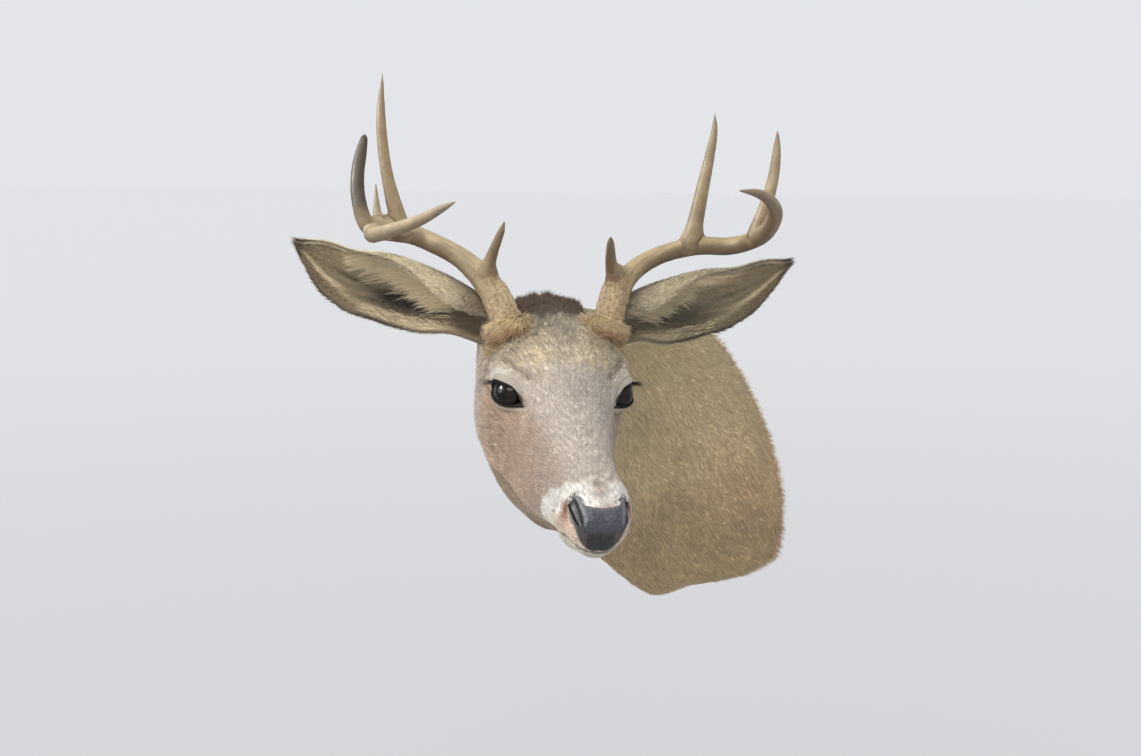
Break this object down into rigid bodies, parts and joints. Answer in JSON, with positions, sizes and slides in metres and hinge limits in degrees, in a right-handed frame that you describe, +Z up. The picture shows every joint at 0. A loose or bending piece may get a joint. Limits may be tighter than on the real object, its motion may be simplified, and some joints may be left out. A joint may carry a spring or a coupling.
{
  "type": "deer shoulder mount",
  "caption": "White-tailed buck shoulder mount: head turned to its left, cupped ears out, glass eyes, branched antlers, neck and brisket on a hidden wall board.",
  "frame": {"origin": "middle of the wall board's back face, on the wall", "axes": "+Z up, +Y into the wall, +X to the deer's own left"},
  "size_m": [0.432, 0.5313, 0.5557],
  "materials": {
    "short_deer_fur": "short flat greyish brown face fur, white round the nose and eyes",
    "ear_fur": "thin velvety ear fur, pale long hairs inside",
    "neck_fur": "ticked golden brown winter coat",
    "nose_skin": "dark pebbled nose leather with a soft sheen",
    "glass_eye": "polished dark brown glass eye",
    "antler_bone": "hard antler bone, ridged and darker at the base, paler and smoother at the tips",
    "plywood": "bare birch plywood",
    "zinc_plated_steel": "zinc plated keyhole hanger plate"
  },
  "bodies": {
    "root": {"cranium": "short_deer_fur", "muzzle": "short_deer_fur", "lower_jaw": "short_deer_fur", "nose": "nose_skin", "eye_left": "glass_eye", "eye_right": "glass_eye", "ear_left": "ear_fur", "ear_right": "ear_fur", "neck": "neck_fur", "shoulder_left": "neck_fur", "shoulder_right": "neck_fur", "brisket": "neck_fur", "antler_left_beam_base": "antler_bone", "antler_left_beam_middle": "antler_bone", "antler_left_beam_tip": "antler_bone", "antler_brow_tine_left": "antler_bone", "antler_second_tine_left": "antler_bone", "antler_third_tine_left": "antler_bone", "antler_right_beam_base": "antler_bone", "antler_right_beam_middle": "antler_bone", "antler_right_beam_tip": "antler_bone", "antler_brow_tine_right": "antler_bone", "antler_second_tine_right": "antler_bone", "antler_third_tine_right": "antler_bone", "antler_fourth_tine_right": "antler_bone", "backboard": "plywood", "hanger_plate": "zinc_plated_steel"}
  },
  "joints": []
}
